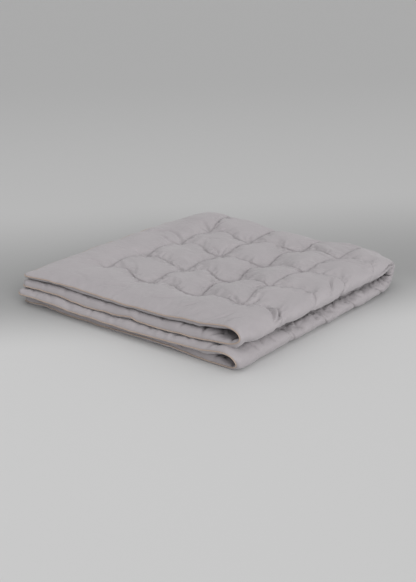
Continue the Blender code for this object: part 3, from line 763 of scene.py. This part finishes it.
def pipingTube(rim, normals):  # a circle carried along the rim, just outside it
    along = np.roll(rim, -1, axis=0) - np.roll(rim, 1, axis=0)
    along /= np.linalg.norm(along, axis=1, keepdims=True)
    outwards = np.cross(normals, along)
    outwards /= np.linalg.norm(outwards, axis=1, keepdims=True)
    sides = piping["sides"]
    angle = 2 * np.pi * np.arange(sides) / sides
    round1, round2 = np.cos(angle)[None, :, None], np.sin(angle)[None, :, None]
    centre = rim + outwards * (piping["radius"] + piping["gap"])
    centre[:, 2] += piping["lift"] * np.abs(normals[:, 2])
    points = centre[:, None] + piping["radius"] * (round1 * outwards[:, None] + round2 * normals[:, None])
    ring, side = np.meshgrid(np.arange(len(rim)), np.arange(sides), indexing="ij")
    here, ahead, beside = ring * sides, (ring + 1) % len(rim) * sides, (side + 1) % sides
    faces = np.stack([here + side, here + beside, ahead + beside, ahead + side], -1)
    tube = putMesh("piping_cord", points.reshape(-1, 3), faces.ravel(), np.full(faces[..., 0].size, 4))
    length = np.concatenate([[0], np.cumsum(np.linalg.norm(np.diff(rim, axis=0), axis=1))])
    place = np.stack(np.meshgrid(length, angle * piping["radius"], indexing="ij"), -1).reshape(-1, 2)
    uvMap = tube.data.uv_layers.new(name="cloth")
    uvMap.data.foreach_set("uv", place[faces.ravel()].astype(np.float32).ravel())
    return tube


# Finishes
class Wire:  # a socket that takes part in sums; each operator adds a Math node
    def __init__(self, finish, socket):
        self.finish, self.socket = finish, socket

    def reckon(self, operation, first, second=0.0):
        return self.finish.add("ShaderNodeMath", {"operation": operation}, {0: first, 1: second})

    def __add__(self, other):
        return self.reckon("ADD", self, other)

    def __sub__(self, other):
        return self.reckon("SUBTRACT", self, other)

    def __rsub__(self, other):
        return self.reckon("SUBTRACT", other, self)

    def __mul__(self, other):
        return self.reckon("MULTIPLY", self, other)

    def __abs__(self):
        return self.reckon("ABSOLUTE", self)

    __radd__ = __add__
    __rmul__ = __mul__

    def sine(self):
        return self.reckon("SINE", self)


class Finish:  # a material: fixed values go straight onto the shader's sockets, the rest through add
    def __init__(self, name, fixed):
        self.material = bpy.data.materials.new(name)
        self.material.use_nodes = True
        self.tree = self.material.node_tree
        self.shader = self.tree.nodes["Principled BSDF"]
        for socket, value in fixed.items():
            self.shader.inputs[socket].default_value = value

    def add(self, kind, settings, values, out=0):
        node = self.tree.nodes.new(kind)
        for key, value in settings.items():
            setattr(node, key, value)
        for key, value in values.items():
            if isinstance(value, Wire):
                self.tree.links.new(value.socket, node.inputs[key])
            else:
                node.inputs[key].default_value = value
        return Wire(self, node.outputs[out])

    def feed(self, socket, wire):
        self.tree.links.new(wire.socket, self.shader.inputs[socket])

    def mixed(self, share, first, second):
        return self.add("ShaderNodeMix", {"data_type": "RGBA"}, {0: share, 6: first, 7: second}, 2)

    def noise(self, vector, scale, detail=2.0, rough=0.5):
        return self.add("ShaderNodeTexNoise", {}, {"Vector": vector, "Scale": scale, "Detail": detail,
                                                   "Roughness": rough})

    def stretched(self, vector, scale):
        return self.add("ShaderNodeVectorMath", {"operation": "MULTIPLY"}, {0: vector, 1: scale})

    def part(self, vector, out):  # 0 is the vector's x and 1 its y
        return self.add("ShaderNodeSeparateXYZ", {}, {0: vector}, out)

    def bump(self, height, strength, distance, **under):
        values = {"Strength": strength, "Distance": distance, "Height": height}
        return self.add("ShaderNodeBump", {}, values | under)


cotton = {
    "colour": (0.400, 0.375, 0.386, 1),
    "shade": (0.330, 0.306, 0.320, 1),
    # dark grey painted along the stitched lines as shade
    "paintedSeamShade": (0.22, 0.20, 0.21, 1),
    "threadPitch": 0.55 * mm,
    "slubs": (900, 40),          # uneven threads for each metre across them, and changes along them
    "patches": 14.0,             # lighter and darker cloth for each metre
    "patchShare": 0.9,           # shares of the shade in patches and slubs, and of the painted shade at stitched lines
    "slubShare": 0.5,
    "paintedShadeShare": 0.7,
    "roughness": 0.85,
}


# A plain weave of two sines by the cloth's own coordinates, uneven threads, and painted shade along the
# stitched lines
def cottonFinish():
    finish = Finish("quilted_cotton", {"Roughness": cotton["roughness"], "Sheen Weight": 0.25,
                                       "Sheen Roughness": 0.45, "Specular IOR Level": 0.25})
    cloth = finish.add("ShaderNodeUVMap", {"uv_map": "cloth"}, {})
    across, along = finish.part(cloth, 0), finish.part(cloth, 1)
    # the seam attribute carries painted shade along the stitched lines
    seam = finish.add("ShaderNodeAttribute", {"attribute_name": "seam"}, {}, 2)
    beside, onward = cotton["slubs"]
    warps, wefts = finish.stretched(cloth, (beside, onward, 1)), finish.stretched(cloth, (onward, beside, 1))
    slubs = finish.noise(warps, 1.0) + finish.noise(wefts, 1.0) - 1.0
    patches = finish.noise(cloth, cotton["patches"], 3.0, 0.55)
    colour = finish.mixed(patches * cotton["patchShare"], cotton["colour"], cotton["shade"])
    colour = finish.mixed(abs(slubs) * cotton["slubShare"], colour, cotton["shade"])
    # painted shade: the cloth's colour is darkened along the stitched lines
    colour = finish.mixed(seam * cotton["paintedShadeShare"], colour, cotton["paintedSeamShade"])
    finish.feed("Base Color", colour)
    pitch = np.pi / cotton["threadPitch"]
    weave = (across * pitch).sine() * (along * pitch).sine()
    threads = finish.bump(weave, 0.25, 0.15 * mm)
    finish.feed("Normal", finish.bump(slubs, 0.5, 0.25 * mm, Normal=threads))
    return finish.material


def pipingFinish():  # tan cotton strip, its weave of two sines on the bias
    finish = Finish("piping_cotton", {"Roughness": 0.8, "Sheen Weight": 0.15, "Specular IOR Level": 0.25})
    cloth = finish.add("ShaderNodeUVMap", {"uv_map": "cloth"}, {})
    patches = finish.noise(cloth, 60.0)
    finish.feed("Base Color", finish.mixed(patches, piping["colour"], piping["shade"]))
    lengthwise, around = finish.part(cloth, 0), finish.part(cloth, 1)
    turn = piping["weaveTurn"]
    bias = ((lengthwise + around) * turn).sine() * ((lengthwise - around) * turn).sine()
    finish.feed("Normal", finish.bump(bias, 0.4, 0.2 * mm))
    return finish.material


body, rim, rimNormals = quiltBody()
body.data.materials.append(cottonFinish())
faceCount, cornerCount = len(body.data.polygons), len(body.data.loops)
print("quilt", faceCount, "faces", cornerCount - 2 * faceCount, "triangles")
cord = pipingTube(rim, rimNormals)
cord.data.materials.append(pipingFinish())
print("piping", len(cord.data.polygons), "faces")

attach(body, "root")
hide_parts("quilt")
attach(cord, "root")
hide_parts("edge_piping")

# Studio
view = {
    "pitch": 19.9,               # how far the camera looks down, and how far round it stands, in degrees
    "yaw": 39.0,
    "distance": 2.60,
    "aim": (-22 * mm, 5 * mm, 0),
    "focalPixels": 1000,         # the lens, for a picture of frameHeight pixels
    "frameHeight": 582,
    "sensor": 36,
}
pitch, yaw = np.radians(view["pitch"]), np.radians(view["yaw"])
studio = {
    "floorSize": 60,
    "paintedShadeTurn": 11,             # how far the floor's painted shade is turned from the view, in degrees
    "front": (-0.29, 0.10, 0.61, 0.34),     # places along the view, and the floor's grey at either one, painted darker beside the throw as shade
    "back": (0.10, 0.95, 0.0, 0.18),        # the same, added further back
    "wall": (0.8, 4.0, 0.0, -0.05),
    "world": (0.80, 0.80, 0.80, 1),         # soft light from all round
    "worldStrength": 0.78,
    "keyPlace": (0.2, -1.2, 2.8),           # a soft box overhead
    "keySize": 2.2,
    "keyPower": 13,
    "fillFrom": (4.4, -1.9, 1.9),           # a broad low light on the first fold
    "fillAngle": 36,             # apparent width of the fill light, in degrees
    "fillStrength": 1.7,
}


def putLight(name, kind, place, settings):  # a lamp that shines from its place on the throw
    lamp = bpy.data.lights.new(name, kind)
    for key, value in settings.items():
        setattr(lamp, key, value)
    thing = bpy.data.objects.new(name, lamp)
    thing.location = place
    thing.rotation_euler = (-Vector(place)).to_track_quat("-Z", "Y").to_euler()
    bpy.context.scene.collection.objects.link(thing)


def paintedShadeFloorFinish():  # one grey with painted shade: brightest in front, darkest in a painted shade band beside the throw and lighter again behind it
    finish = Finish("floor_with_painted_shade", {"Roughness": 0.6, "Specular IOR Level": 0.1})
    place = finish.add("ShaderNodeTexCoord", {}, {}, 3)
    across, along = finish.part(place, 0), finish.part(place, 1)
    turn = yaw + np.radians(studio["paintedShadeTurn"])
    depth = along * np.cos(turn) - across * np.sin(turn)

    def step(start, end, first, last):
        return finish.add("ShaderNodeMapRange", {"interpolation_type": "SMOOTHSTEP"},
                          {0: depth, 1: start, 2: end, 3: first, 4: last})

    # painted shade: the floor's grey falls to a dark band beside the throw and rises again behind it
    paintedShadeGrey = step(*studio["front"]) + step(*studio["back"]) + step(*studio["wall"])
    finish.feed("Base Color", finish.mixed(paintedShadeGrey, (0, 0, 0, 1), (1, 1, 1, 1)))
    return finish.material


half = studio["floorSize"] / 2
floorCorners = np.array([[-half, -half, 0], [half, -half, 0], [half, half, 0], [-half, half, 0]])
floor = putMesh("floor_with_painted_shade", floorCorners, np.arange(4), np.array([4]))
floor.data.materials.append(paintedShadeFloorFinish())
key = {"size": studio["keySize"], "energy": studio["keyPower"]}
fill = {"angle": np.radians(studio["fillAngle"]), "energy": studio["fillStrength"]}
putLight("key", "AREA", studio["keyPlace"], key)
putLight("fill", "SUN", studio["fillFrom"], fill)
print("studio lit")
world = bpy.data.worlds.new("studio")
world.use_nodes = True
world.node_tree.nodes["Background"].inputs[0].default_value = studio["world"]
world.node_tree.nodes["Background"].inputs[1].default_value = studio["worldStrength"]
bpy.context.scene.world = world
bpy.context.scene.view_settings.view_transform = "Standard"

# Camera
forward = np.array([-np.sin(yaw) * np.cos(pitch), np.cos(yaw) * np.cos(pitch), -np.sin(pitch)])
camera = bpy.data.objects.new("camera", bpy.data.cameras.new("camera"))
camera.data.sensor_fit = "VERTICAL"
camera.data.sensor_height = view["sensor"]
camera.data.lens = view["sensor"] * view["focalPixels"] / view["frameHeight"]
camera.location = np.array(view["aim"]) - throw["boxMiddle"] - forward * view["distance"]
camera.rotation_euler = Vector(forward).to_track_quat("-Z", "Y").to_euler()
bpy.context.scene.collection.objects.link(camera)
bpy.context.scene.camera = camera
